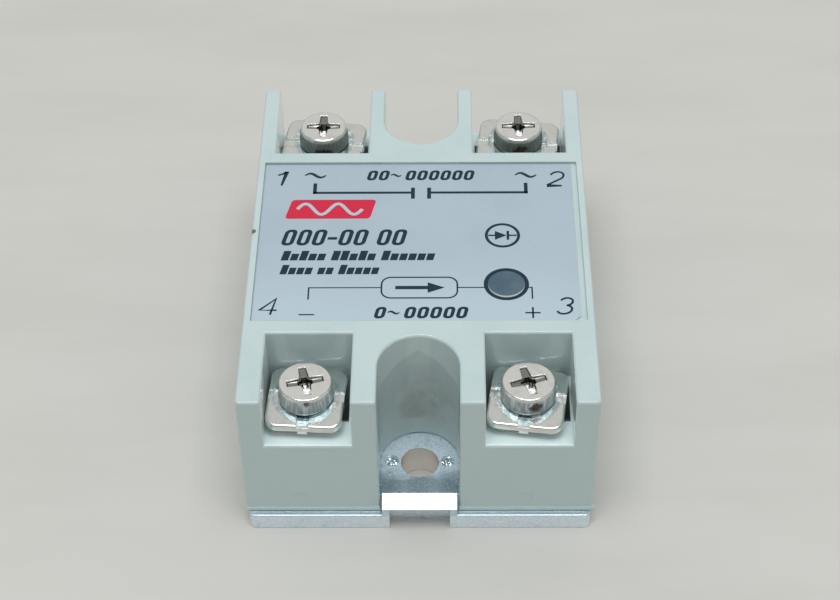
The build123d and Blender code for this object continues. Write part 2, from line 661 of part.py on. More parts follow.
with BuildPart() as circuit_board:
    with BuildSketch(Plane.XY.offset(BOARD_BOTTOM)):
        with Locations((0, sum(CAVITY_Y) / 2)):
            Rectangle(2 * (CAVITY_X - FIT), CAVITY_Y[1] - CAVITY_Y[0] - 2 * FIT)
        with Locations(*round_lead_spots):
            Circle(DRILL_R, mode=Mode.SUBTRACT)
        with Locations(*triac_lead_spots):
            Circle(TRIAC_LEAD_W * 0.65, mode=Mode.SUBTRACT)
    extrude(amount=BOARD_T)
finish(circuit_board, "circuit_board")

with BuildPart() as solder_joints:
    with BuildSketch(Plane.XY.offset(BOARD_BOTTOM)):
        with Locations(*round_lead_spots):
            Circle(SOLDER_R)
    extrude(amount=-SOLDER_H, taper=14)
    with BuildSketch(Plane.XY.offset(BOARD_TOP)):
        with Locations(*triac_lead_spots):
            Circle(TRIAC_LEAD_W)
    extrude(amount=SOLDER_H, taper=30)
    with BuildSketch(Plane.XY.offset(BOARD_BOTTOM - SOLDER_H)):
        with Locations(*round_lead_spots):
            Circle(LEAD_R + 0.01)
    extrude(amount=SOLDER_H, mode=Mode.SUBTRACT)
    with BuildSketch(Plane.XY.offset(BOARD_TOP)):
        with Locations(*triac_lead_spots):
            Rectangle(TRIAC_LEAD_W + 0.02, TRIAC_LEAD_T + 0.02)
    extrude(amount=SOLDER_H, mode=Mode.SUBTRACT)
finish(solder_joints, "solder_joints")
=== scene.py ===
import json
import math

import bmesh
import bpy
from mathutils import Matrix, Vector


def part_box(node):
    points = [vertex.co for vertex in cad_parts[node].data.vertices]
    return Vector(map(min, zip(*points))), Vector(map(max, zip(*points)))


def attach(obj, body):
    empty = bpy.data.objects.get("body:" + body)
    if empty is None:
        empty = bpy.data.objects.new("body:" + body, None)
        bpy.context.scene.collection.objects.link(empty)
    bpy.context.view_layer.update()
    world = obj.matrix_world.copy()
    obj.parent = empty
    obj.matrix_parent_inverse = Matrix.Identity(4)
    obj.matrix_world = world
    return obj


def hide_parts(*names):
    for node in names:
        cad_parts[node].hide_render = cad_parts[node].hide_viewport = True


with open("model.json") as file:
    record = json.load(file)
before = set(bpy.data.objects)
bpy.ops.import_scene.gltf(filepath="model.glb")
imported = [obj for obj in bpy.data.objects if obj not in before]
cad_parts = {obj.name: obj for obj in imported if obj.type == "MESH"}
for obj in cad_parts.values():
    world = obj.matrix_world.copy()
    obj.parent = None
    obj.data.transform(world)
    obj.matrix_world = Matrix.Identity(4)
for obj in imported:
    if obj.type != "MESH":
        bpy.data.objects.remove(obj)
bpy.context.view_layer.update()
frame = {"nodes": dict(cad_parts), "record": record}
MM = 0.001
RESTING_GAP = 0.1 * MM        # anything nearer to the floor than this rests on it
TERMINALS = ("1", "2", "3", "4")


# ---- node materials ----------------------------------------------------------------------------
class Look:
    """A procedural material under construction. Scales are given in features per millimetre."""

    def __init__(self, name, color, roughness, metallic=0.0):
        self.material = bpy.data.materials.new(name)
        self.material.use_nodes = True
        self.tree = self.material.node_tree
        self.shader = self.tree.nodes["Principled BSDF"]
        self.shader.inputs["Metallic"].default_value = metallic
        self.color = self.value_color(color)
        self.roughness = roughness
        self.height = None
        self.bevel = None
        self.point = self.add("ShaderNodeTexCoord").outputs["Object"]

    def add(self, kind, **values):
        node = self.tree.nodes.new(kind)
        for key, value in values.items():
            setattr(node, key, value)
        return node

    def link(self, value, socket):
        if isinstance(value, (int, float)):
            socket.default_value = value
        elif isinstance(value, tuple):
            socket.default_value = (*value, 1.0) if len(value) == 3 else value
        else:
            self.tree.links.new(value, socket)

    def value_color(self, color):
        node = self.add("ShaderNodeRGB")
        node.outputs[0].default_value = (*color, 1.0)
        return node.outputs[0]

    def math(self, operation, a, b=0.0, clamp=False):
        node = self.add("ShaderNodeMath", operation=operation, use_clamp=clamp)
        self.link(a, node.inputs[0])
        self.link(b, node.inputs[1])
        return node.outputs[0]

    def stretched(self, stretch):
        node = self.add("ShaderNodeMapping")
        self.link(self.point, node.inputs["Vector"])
        node.inputs["Scale"].default_value = stretch
        return node.outputs["Vector"]

    def noise(self, per_mm, detail=3.0, rough=0.5, stretch=(1, 1, 1), distortion=0.0):
        node = self.add("ShaderNodeTexNoise")
        self.link(self.stretched(stretch), node.inputs["Vector"])
        node.inputs["Scale"].default_value = per_mm / MM
        node.inputs["Detail"].default_value = detail
        node.inputs["Roughness"].default_value = rough
        node.inputs["Distortion"].default_value = distortion
        return node.outputs["Fac"]

    def cells(self, per_mm, output="Color", feature="F1", stretch=(1, 1, 1)):
        node = self.add("ShaderNodeTexVoronoi", feature=feature)
        self.link(self.stretched(stretch), node.inputs["Vector"])
        node.inputs["Scale"].default_value = per_mm / MM
        return node.outputs[output]

    def between(self, value, low, high, out_low=0.0, out_high=1.0):
        """Stretch value from low..high to out_low..out_high, held at the ends."""
        node = self.add("ShaderNodeMapRange", clamp=True, interpolation_type="SMOOTHSTEP")
        self.link(value, node.inputs["Value"])
        ends = (("From Min", low), ("From Max", high), ("To Min", out_low), ("To Max", out_high))
        for name, number in ends:
            node.inputs[name].default_value = number
        return node.outputs["Result"]

    def beyond(self, value, edge, soft_mm):
        """1 past an edge given in metres, 0 before it, blended over soft_mm."""
        half = soft_mm / 2 * MM
        return self.between(value, edge - half, edge + half)

    def within(self, value, edge, soft_mm):
        """1 before an edge given in metres, 0 past it, blended over soft_mm."""
        half = soft_mm / 2 * MM
        return self.between(value, edge - half, edge + half, 1.0, 0.0)

    def both(self, *masks):
        """Product of masks and numbers."""
        product = masks[0]
        for mask in masks[1:]:
            product = self.math("MULTIPLY", product, mask)
        return product

    def inverse(self, mask):
        return self.math("SUBTRACT", 1.0, mask)

    def axis(self, name):
        node = self.add("ShaderNodeSeparateXYZ")
        self.link(self.point, node.inputs[0])
        return node.outputs[name]

    def near(self, centre):
        """Distance in metres to a point given in metres."""
        node = self.add("ShaderNodeVectorMath", operation="DISTANCE")
        self.link(self.point, node.inputs[0])
        node.inputs[1].default_value = centre
        return node.outputs["Value"]

    def facing(self, name):
        """Size of the surface normal's X, Y or Z part, 0 to 1."""
        node = self.add("ShaderNodeSeparateXYZ")
        self.link(self.add("ShaderNodeNewGeometry").outputs["True Normal"], node.inputs[0])
        return self.math("ABSOLUTE", node.outputs[name])

    def tint(self, color, factor):
        """Mix another colour over the present one."""
        node = self.add("ShaderNodeMix", data_type="RGBA", clamp_factor=True)
        self.link(factor, node.inputs["Factor"])
        self.link(self.color, node.inputs["A"])
        self.link(color, node.inputs["B"])
        self.color = node.outputs["Result"]

    def rougher(self, amount, factor):
        self.roughness = self.math("ADD", self.roughness, self.math("MULTIPLY", factor, amount), clamp=True)

    def emboss(self, height_mm, factor):
        """Add factor times height_mm to the surface's fine relief."""
        raised = self.math("MULTIPLY", factor, height_mm * MM)
        self.height = raised if self.height is None else self.math("ADD", self.height, raised)

    def spot(self, centre, radius_mm, ragged=0.35):
        """1 inside a ragged spot around a point given in metres, 0 outside."""
        far = self.math("DIVIDE", self.near(centre), radius_mm * MM)
        far = self.math("ADD", far, self.math("MULTIPLY", self.noise(2.5 / radius_mm, 3), ragged))
        return self.between(far, 0.75 + ragged / 2, 1.05 + ragged / 2, 1.0, 0.0)

    def round_edges(self, radius_mm):
        """Shade sharp edges as if rounded, so that they catch the light."""
        self.bevel = self.add("ShaderNodeBevel", samples=6)
        self.bevel.inputs["Radius"].default_value = radius_mm * MM

    def clear_from_below(self):
        """Clear from below, and to light from a surface that rests on it, so that an underside is seen."""
        path = self.add("ShaderNodeLightPath")
        short = self.math("LESS_THAN", path.outputs["Ray Length"], RESTING_GAP)
        clear = self.math("MAXIMUM", self.add("ShaderNodeNewGeometry").outputs["Backfacing"], short)
        mix = self.add("ShaderNodeMixShader")
        self.link(clear, mix.inputs[0])
        self.link(self.shader.outputs[0], mix.inputs[1])
        self.link(self.add("ShaderNodeBsdfTransparent").outputs[0], mix.inputs[2])
        self.link(mix.outputs[0], self.tree.nodes["Material Output"].inputs["Surface"])

    def finish(self, **settings):
        self.link(self.color, self.shader.inputs["Base Color"])
        self.link(self.roughness, self.shader.inputs["Roughness"])
        if self.height is not None:
            bump = self.add("ShaderNodeBump")
            bump.inputs["Distance"].default_value = 1.0
            self.link(self.height, bump.inputs["Height"])
            if self.bevel is not None:
                self.link(self.bevel.outputs["Normal"], bump.inputs["Normal"])
            self.link(bump.outputs["Normal"], self.shader.inputs["Normal"])
        for name, value in settings.items():
            self.link(value, self.shader.inputs[name.replace("_", " ")])
        return self.material


ENDS_START = 15.75 * MM       # wells and pockets begin here, from the middle of the length
WELL_HALF_W = 5.325 * MM
POCKET_SIDE = 6.7 * MM        # inner sides of the pockets, from the middle of the width
ARCH_SLOPE = 0.58             # fall of the arched shade in the wells, per length across


def housing_look():
    """Pale grey-green moulding with a chip and specks, and painted light: a dark reflection on the front
    well's back wall, and painted shade and reflections in the wells and pockets.
    """
    look = Look("housing_plastic", (0.50, 0.60, 0.607), 0.10)
    look.tint((0.465, 0.575, 0.583), look.between(look.noise(0.12, 4), 0.35, 0.7))
    look.tint((0.58, 0.67, 0.665), look.between(look.noise(1.6, 5, 0.65), 0.55, 0.85, 0.0, 0.25))
    specks = look.between(look.cells(0.55, "Distance"), 0.0, 0.035, 0.6, 0.0)
    look.tint((0.20, 0.22, 0.21), look.both(specks, look.between(look.noise(0.2), 0.5, 0.6)))
    low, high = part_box("housing")
    chip = (low.x + 0.4 * MM, 0.4 * MM, high.z - 0.15 * MM)
    look.tint((0.13, 0.13, 0.09), look.spot(chip, 0.5))
    # painted reflection: a dark patchy area in the middle of the front well's back wall
    dark_reflection_centre = (0.9 * MM, low.y + 11.4 * MM, 11.5 * MM)
    dark_reflection = look.between(look.near(dark_reflection_centre), 1.0 * MM, 8.0 * MM, 0.9, 0.0)
    patchy = look.between(look.noise(0.45, 4, 0.6), 0.3, 0.65, 0.25, 1.0)
    look.tint((0.36, 0.37, 0.35), look.both(dark_reflection, patchy))
    depth = look.math("ABSOLUTE", look.axis("Y"))
    across = look.math("ABSOLUTE", look.axis("X"))
    off_end_face = look.within(depth, high.y - 0.25 * MM, 0.3)
    # wells: painted reflection and shade, paler at the top and darker below a pointed arch
    upright = look.between(look.facing("Z"), 0.3, 0.6, 1.0, 0.0)
    well = look.both(look.within(across, WELL_HALF_W, 0.15), off_end_face, upright)
    arch = look.math("ADD", look.axis("Z"), look.both(across, ARCH_SLOPE))
    wobble = look.both(look.math("SUBTRACT", look.noise(0.3, 2), 0.5), 1.2 * MM)
    shaded = look.within(look.math("ADD", arch, wobble), high.z - 2.95 * MM, 0.7)
    look.tint((0.60, 0.71, 0.70), look.both(well, look.inverse(shaded), 0.6))
    look.tint((0.42, 0.50, 0.485), look.both(well, shaded, 0.35))
    # pockets: painted light, lighter on the floors, and lighter still on the side walls
    inside = look.both(look.beyond(depth, ENDS_START, 0.5), off_end_face,
                       look.within(look.axis("Z"), high.z - 0.2 * MM, 0.2),
                       look.within(across, high.x - 1.1 * MM, 0.4))
    pocket = look.both(inside, look.beyond(across, POCKET_SIDE, 0.6))
    look.tint((0.74, 0.87, 0.87), look.both(pocket, look.between(look.facing("Y"), 0.3, 0.6, 0.85, 0.0)))
    look.tint((0.90, 1.0, 1.0), look.both(pocket, look.between(look.facing("X"), 0.6, 0.9, 0.0, 0.8)))
    # painted light: the upright face at the input end is lightened
    input_end = look.within(look.axis("Y"), low.y + 1.0 * MM, 1.0)
    off_level = look.between(look.facing("Z"), 0.2, 0.5, 1.0, 0.0)
    look.tint((0.56, 0.69, 0.69), look.both(input_end, off_level, 0.7))
    look.rougher(0.12, look.between(look.noise(0.35, 6, 0.7), 0.3, 0.75))
    look.roughness = look.both(look.roughness, look.inverse(look.both(inside, 0.65)))
    look.emboss(0.003, look.noise(3.0, 4, 0.6))
    look.emboss(0.020, look.noise(0.16, 2))
    look.round_edges(0.12)
    return look.finish(Subsurface_Weight=0.08, Subsurface_Scale=0.0012, Specular_IOR_Level=0.5)


HOLE_FROM_END = 7.25 * MM     # middle of the mounting hole, from the input end of the base plate
FLANGE_TOP = 2.375 * MM
STRIP_TOP = 4.3 * MM          # raised strip that runs out through the wells


def zinc_look():
    """Zinc plate: worn and frosted round the mounting hole, smooth towards the ends, with a painted
    steel-blue reflection and shade there.
    """
    look = Look("zinc_plate", (0.79, 0.90, 0.97), 0.24, 1.0)
    spangle = look.cells(4.5, "Color")
    grey = look.add("ShaderNodeRGBToBW")
    look.link(spangle, grey.inputs[0])
    ragged = look.both(look.math("SUBTRACT", look.noise(0.7, 5, 0.7), 0.5), 4.0 * MM)
    outwards = look.math("ADD", look.math("ABSOLUTE", look.axis("Y")), ragged)
    end = look.beyond(outwards, 26.5 * MM, 1.8)
    frosted = look.inverse(end)
    # strip beyond the hole: darker, with a paler streak on each side
    off_streak = look.math("ABSOLUTE", look.math("SUBTRACT", look.math("ABSOLUTE", look.axis("X")), 2.1 * MM))
    beyond_hole = look.both(look.beyond(outwards, 25.5 * MM, 1.8),
                            look.beyond(look.axis("Z"), STRIP_TOP, 0.2))
    streaked = look.between(off_streak, 0.1 * MM, 1.3 * MM, 0.25, 1.0)
    look.tint((0.33, 0.44, 0.54), look.both(beyond_hole, streaked, 0.85))
    # painted reflection and shade: steel blue on the flange top and above it, towards the ends
    look.tint((0.46, 0.57, 0.66), look.both(end, look.beyond(look.axis("Z"), FLANGE_TOP, 0.15), 0.55))
    # flange sides: painted highlight streaks, white, in a low band
    streaks = look.between(look.noise(1.1, 4, 0.6, stretch=(0.35, 1, 1.6)), 0.56, 0.64)
    low_band = look.both(look.beyond(look.axis("Z"), 0.375 * MM, 0.25),
                         look.within(look.axis("Z"), 1.3 * MM, 0.4))
    look.tint((1.0, 1.0, 1.0), look.both(streaks, low_band))
    # spangle, bright flecks and dark blotches
    look.tint((0.62, 0.73, 0.80), look.between(grey.outputs[0], 0.3, 0.9, 0.0, 0.5))
    look.tint((0.97, 0.99, 1.0), look.between(look.noise(4.5, 3, 0.7), 0.56, 0.64, 0.0, 0.9))
    flecks = look.between(look.noise(3.7, 3, 0.7), 0.58, 0.66, 0.0, 0.8)
    look.tint((0.40, 0.52, 0.60), look.both(frosted, flecks))
    look.tint((0.36, 0.46, 0.52), look.between(look.noise(0.45, 6, 0.75), 0.54, 0.68, 0.0, 0.4))
    look.rougher(0.26, look.both(frosted, look.between(look.noise(2.0, 4), 0.2, 0.6, 0.5, 1.0)))
    look.rougher(0.16, look.noise(1.2, 5, 0.7))
    # bore of the mounting hole: smooth, with a painted warm reflection of the floor
    hole = (0.0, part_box("base_plate")[0].y + HOLE_FROM_END, 2.2 * MM)
    bore = look.both(look.within(look.near(hole), 3.35 * MM, 0.1),
                     look.between(look.facing("Z"), 0.1, 0.3, 1.0, 0.0))
    look.tint((0.93, 0.87, 0.82), look.both(bore, 0.9))
    look.roughness = look.both(look.roughness, look.inverse(look.both(bore, 0.6)))
    look.emboss(0.012, grey.outputs[0])
    look.emboss(0.040, look.both(frosted, look.noise(6.0, 3, 0.65)))
    look.emboss(0.014, look.noise(1.6, 4, 0.6))
    look.round_edges(0.08)
    return look.finish()


def polish(look):
    """Fine unevenness shared by the nickel-plated parts."""
    look.rougher(0.10, look.noise(2.2, 5, 0.7))
    look.emboss(0.006, look.noise(1.4, 4, 0.6))
    look.emboss(0.002, look.noise(14.0, 2))
    look.round_edges(0.06)


def nickel_look(name="bright_nickel", stains=(), head=None, side_shade=None):
    """Bright nickel plate. stains is a list of (centre in metres, radius in millimetres). head is the top
    centre of a screw head, whose side gets painted shade and reflection in the colour given last, and whose
    driver recess gets grime with painted shade and a painted highlight on the front wing."""
    look = Look(name, (0.86, 0.865, 0.835), 0.07, 1.0)
    look.tint((0.70, 0.68, 0.64), look.between(look.noise(0.9, 4), 0.45, 0.75, 0.0, 0.45))
    metallic = 1.0
    if head is not None:
        near = look.near(head)
        recess = look.both(look.within(near, 2.41 * MM, 0.06),
                           look.within(look.axis("Z"), head[2] - 0.11 * MM, 0.1))
        # painted highlight: the front wing's floor is made white and less metallic
        front_wing = (head[0] + 0.2 * MM, head[1] - 1.2 * MM, head[2])
        wing_highlight = look.both(look.between(look.facing("Z"), 0.6, 0.8),
                          look.within(look.near(front_wing), 0.85 * MM, 0.3),
                          look.between(look.noise(2.6, 3, 0.7), 0.36, 0.48, 0.35, 1.0))
        # grime with painted shade: the driver recess is darkened, except on the front wing
        grime_and_shade = look.math("MULTIPLY", recess, look.math("SUBTRACT", 0.82, wing_highlight), clamp=True)
        look.tint((0.15, 0.15, 0.145), grime_and_shade)
        look.tint((0.95, 0.97, 0.98), look.both(recess, wing_highlight))
        metallic = look.inverse(look.both(recess, wing_highlight, 0.9))
        # painted shade and reflection on the knurled side, with lighter painted highlight streaks
        side = look.both(look.beyond(near, 3.325 * MM, 0.15),
                         look.within(look.axis("Z"), head[2] - 0.5 * MM, 0.4))
        look.tint(side_shade, look.both(side, 0.85))
        streaks = look.between(look.noise(3.2, 3, 0.6, stretch=(1, 1, 0.12)), 0.46, 0.60)
        look.tint(tuple(2 * c for c in side_shade), look.both(side, streaks, 0.65))
        look.rougher(0.20, side)
    for centre, radius in stains:
        mottle = look.between(look.noise(5.0, 4), 0.35, 0.6, 0.35, 1.0)
        look.tint((0.085, 0.05, 0.022), look.both(look.spot(centre, radius), mottle))
    polish(look)
    return look.finish(Metallic=metallic)


def clamp_look(number):
    """Nickel clamp plate, with a painted blue-grey reflection and shade in a ring round its screw's head, and
    painted white highlights in that ring.
    """
    low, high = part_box("terminal_screw_" + number)
    plate_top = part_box("clamp_plate_" + number)[1].z
    look = Look("clamp_nickel_" + number, (0.76, 0.785, 0.76), 0.08, 1.0)
    look.tint((0.62, 0.62, 0.58), look.between(look.noise(0.9, 4), 0.45, 0.75, 0.0, 0.45))
    near = look.near(((low.x + high.x) / 2, (low.y + high.y) / 2, plate_top - 0.3 * MM))
    # painted reflection and shade: blue-grey ring round the head
    ring = look.both(look.beyond(near, 3.2 * MM, 0.2), look.within(near, 4.375 * MM, 0.45))
    uneven = look.between(look.noise(0.9, 3, 0.6), 0.38, 0.6, 0.35, 1.0)
    look.tint((0.44, 0.54, 0.555), look.both(ring, uneven))
    # painted highlights: white streaks in the ring
    bright = look.between(look.noise(1.1, 3, 0.6), 0.54, 0.62, 0.0, 0.85)
    look.tint((0.97, 1.0, 1.0), look.both(ring, bright))
    polish(look)
    return look.finish()


def foil_look():
    look = Look("label_foil", (0.40, 0.49, 0.56), 0.36, 0.25)
    look.tint((0.44, 0.535, 0.61), look.between(look.noise(10.0, 2, 0.7), 0.35, 0.7))
    look.tint((0.37, 0.45, 0.52), look.between(look.noise(0.08, 3), 0.4, 0.7, 0.0, 0.5))
    # painted sheen: the foil is lighter towards the input end
    look.tint((0.47, 0.58, 0.66), look.between(look.axis("Y"), -16 * MM, -1 * MM, 0.8, 0.0))
    look.rougher(0.1, look.noise(1.5, 4))
    look.emboss(0.003, look.noise(12.0, 2))
    look.emboss(0.010, look.noise(0.25, 2))
    return look.finish()


def ink_look(name, color):
    look = Look(name, color, 0.5)
    look.tint(tuple(c * 1.5 + 0.006 for c in color), look.between(look.noise(8.0, 3), 0.5, 0.75, 0.0, 0.6))
    look.rougher(0.12, look.noise(5.0, 3))
    look.emboss(0.002, look.noise(9.0, 2))
    return look.finish(Specular_IOR_Level=0.18)


def smoked_look():
    """Smoked plastic with a painted highlight: a pale crescent at the front, where the recess edge shows
    through.
    """
    low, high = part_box("indicator_window")
    look = Look("smoked_lens", (0.050, 0.105, 0.155), 0.22)
    look.tint((0.08, 0.145, 0.19), look.between(look.noise(0.5, 3), 0.35, 0.7))
    shifted = look.near(((low.x + high.x) / 2, (low.y + high.y) / 2 + 0.34 * MM, high.z))
    look.tint((0.50, 0.58, 0.62), look.between(shifted, 2.38 * MM, 2.56 * MM, 0.0, 0.9))
    look.rougher(0.1, look.noise(3.0, 3))
    look.emboss(0.004, look.noise(2.2, 3))
    return look.finish(Transmission_Weight=0.15, IOR=1.49, Coat_Weight=0.2)


def led_look():
    look = Look("led_epoxy", (0.55, 0.03, 0.02), 0.12)
    look.tint((0.75, 0.12, 0.08), look.noise(0.8, 2))
    look.rougher(0.08, look.noise(3.0))
    look.emboss(0.002, look.noise(6.0))
    return look.finish(Transmission_Weight=0.5, IOR=1.5)


def rubber_look():
    look = Look("sealant", (0.035, 0.04, 0.04), 0.7)
    look.tint((0.09, 0.095, 0.09), look.between(look.noise(2.0, 4), 0.4, 0.7))
    look.rougher(0.15, look.noise(3.0))
    look.emboss(0.05, look.noise(1.5, 4))
    return look.finish()


def metal_look(name, color, roughness, grain=6.0):
    look = Look(name, color, roughness, 1.0)
    look.tint(tuple(c * 0.72 for c in color), look.between(look.noise(0.8, 4), 0.4, 0.75, 0.0, 0.7))
    look.rougher(0.18, look.noise(grain / 3, 4, 0.7))
    look.emboss(0.006, look.noise(grain, 3))
    return look.finish()


def board_look():
    look = Look("board_laminate", (0.012, 0.12, 0.045), 0.35)
    tracks = look.between(look.noise(0.35, 0, stretch=(1, 0.25, 1)), 0.48, 0.52)
    look.tint((0.03, 0.22, 0.08), tracks)
    look.tint((0.008, 0.07, 0.03), look.between(look.noise(4.0), 0.5, 0.8, 0.0, 0.5))
    look.emboss(0.02, tracks)
    look.rougher(0.15, look.noise(2.0))
    return look.finish(Coat_Weight=0.3)


def moulded_look(name, color, roughness):
    look = Look(name, color, roughness)
    look.tint(tuple(c * 1.35 + 0.004 for c in color), look.between(look.noise(1.2, 4), 0.45, 0.75, 0.0, 0.6))
    look.rougher(0.18, look.noise(2.5, 4, 0.65))
    look.emboss(0.008, look.noise(5.0, 4, 0.6))
    return look.finish()


def banded_look():
    """Resistor coating with colour bands around the body, along Y."""
    look = Look("resistor_coat", (0.22, 0.42, 0.52), 0.32)
    wave = look.math("FRACT", look.both(look.axis("Y"), 1 / (1.35 * MM)))
    for start, color in ((0.10, (0.32, 0.05, 0.02)), (0.55, (0.03, 0.03, 0.03))):
        after = look.math("GREATER_THAN", wave, start)
        before = look.math("LESS_THAN", wave, start + 0.22)
        look.tint(color, look.both(after, before))
    look.rougher(0.15, look.noise(3.0))
    look.emboss(0.01, look.noise(2.0))
    return look.finish(Coat_Weight=0.3)


LOOKS = {
    "housing_plastic": housing_look(),
    "zinc_plate": zinc_look(),
    "sealant": rubber_look(),
    "label_foil": foil_look(),
    "smoked_lens": smoked_look(),
    "led_epoxy": led_look(),
    "nickel": nickel_look(),
    "tinned_strap": metal_look("tinned_strap", (0.66, 0.64, 0.60), 0.28),
    "steel_nut": metal_look("steel_nut", (0.50, 0.50, 0.48), 0.32),
    "board_laminate": board_look(),
    "solder": metal_look("solder", (0.66, 0.67, 0.68), 0.22, 3.0),
    "tinned_lead": metal_look("tinned_lead", (0.70, 0.68, 0.64), 0.25),
    "black_epoxy": moulded_look("black_epoxy", (0.018, 0.018, 0.020), 0.45),
    "alumina": moulded_look("alumina", (0.80, 0.79, 0.75), 0.5),
    "potting": moulded_look("potting", (0.05, 0.05, 0.055), 0.25),
    "resistor_coat": banded_look(),
    "film_case": moulded_look("film_case", (0.62, 0.42, 0.04), 0.3),
    "varistor_coat": moulded_look("varistor_coat", (0.03, 0.10, 0.38), 0.4),
}
for part in frame["record"]["subparts"]:
    node = frame["nodes"][part["node"]]
    for slot in node.material_slots:
        slot.material = LOOKS[part["material_slot"]]
for number in TERMINALS:
    for slot in frame["nodes"]["clamp_plate_" + number].material_slots:
        slot.material = clamp_look(number)


# ---- mesh helpers ------------------------------------------------------------------------------
def new_piece(name, bm, look, body):
    """Turn a bmesh into an object that rides on a body."""
    bmesh.ops.recalc_face_normals(bm, faces=bm.faces)
    mesh = bpy.data.meshes.new(name)
    bm.to_mesh(mesh)
    bm.free()
    mesh.materials.append(look)
    piece = bpy.data.objects.new(name, mesh)
    bpy.context.scene.collection.objects.link(piece)
    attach(piece, body)
    return piece


def add_loop(bm, points):
    return [bm.verts.new(p) for p in points]


def bridge(bm, lower, upper):
    """Quads between two closed loops of the same length."""
    count = len(lower)
    for i in range(count):
        j = (i + 1) % count
        bm.faces.new((lower[i], lower[j], upper[j], upper[i]))


def loop_edges(bm, loop):
    pairs = [(vert, loop[(i + 1) % len(loop)]) for i, vert in enumerate(loop)]
    return [bm.edges.get(pair) or bm.edges.new(pair) for pair in pairs]


def fill_between(bm, outer, inner):
    """Flat faces between two loops that lie in one plane, whatever their point counts."""
    bmesh.ops.triangle_fill(bm, use_beauty=True, use_dissolve=False,
                            edges=loop_edges(bm, outer) + loop_edges(bm, inner))


def smooth_by_angle(piece, degrees):
    """Smooth shading, with edges sharper than the angle kept crisp."""
    bm = bmesh.new()
    bm.from_mesh(piece.data)
    for face in bm.faces:
        face.smooth = True
    for edge in bm.edges:
        if len(edge.link_faces) == 2 and edge.calc_face_angle(0.0) > math.radians(degrees):
            edge.smooth = False
    bm.to_mesh(piece.data)
    bm.free()


# ---- terminal screws ---------------------------------------------------------------------------
HEAD_H = 2.7
HEAD_DRAFT = math.tan(math.radians(5.0))
KNURL_RIDGES = 88
THREAD_STEPS = 48
PITCH = 0.7
RECESS_TURN = {"1": 0.0, "2": 1.5, "3": 16.0, "4": 12.5}
RIM_SCALE = {"1": 2.4, "2": 2.4, "3": 1.0, "4": 1.0}      # how far the head's top edge is rounded
# painted shade and reflection on each head's knurled side; the rear heads, 1 and 2, are darker
HEAD_SIDE_SHADE = {
    "1": (0.22, 0.25, 0.24),
    "2": (0.20, 0.225, 0.215),
    "3": (0.44, 0.49, 0.51),
    "4": (0.44, 0.49, 0.51),
}
# brown stains on each head: (place from the head's top centre, radius), in millimetres
STAINS = {
    "1": [((-0.5, -3.6, -2.3), 0.9), ((0.7, -3.6, -2.4), 0.9), ((0.1, -3.6, -1.9), 0.5)],
    "2": [((0.2, -3.65, -1.7), 0.75), ((1.0, -3.5, -1.6), 0.55), ((-0.6, -3.6, -2.1), 0.5)],
    "3": [((1.0, -3.55, -1.4), 0.85), ((0.2, -3.7, -1.5), 0.5), ((1.7, -3.3, -1.3), 0.5)],
    "4": [((0.35, -3.7, -0.75), 0.6), ((-0.2, -3.7, -0.65), 0.35)],
}


def circle(radius, z, count, ripple=0.0):
    """Ring of points; ripple pulls every other point inwards."""
    points = []
    for i in range(count):
        angle = 2 * math.pi * i / count
        r = radius - (ripple if i % 2 else 0.0)
        points.append((r * math.cos(angle), r * math.sin(angle), z))
    return points


def cross(span, tip, root, z, turn):
    """Driver recess outline: four wings, narrower at the tip than at the root, chamfered between."""
    cut = 0.22 * root / 0.6
    quarter = [(span, -tip), (span, tip), (root + cut, root), (root, root + cut)]
    points = []
    for k in range(4):
        angle = math.radians(90 * k + turn)
        c, s = math.cos(angle), math.sin(angle)
        points += [(x * c - y * s, x * s + y * c, z) for x, y in quarter]
    return points


def thread_ring(z, top, tip):
    """Ring of the right-hand helical thread, fading out under the head and at the tip."""
    points = []
    fade = min(1.0, max(0.0, (top - 0.5 - z) / 0.5)) * min(1.0, max(0.0, (z - tip - 0.2) / 0.5))
    for i in range(THREAD_STEPS):
        angle = 2 * math.pi * i / THREAD_STEPS
        phase = (z / PITCH - i / THREAD_STEPS) % 1.0
        crest = 1.0 - abs(2.0 * phase - 1.0)
        r = 1.53 + 0.41 * fade * min(1.0, 1.15 * crest) - 0.35 * max(0.0, 1.0 - (z - tip) / 0.4)
        points.append((r * math.cos(angle), r * math.sin(angle), z))
    return points


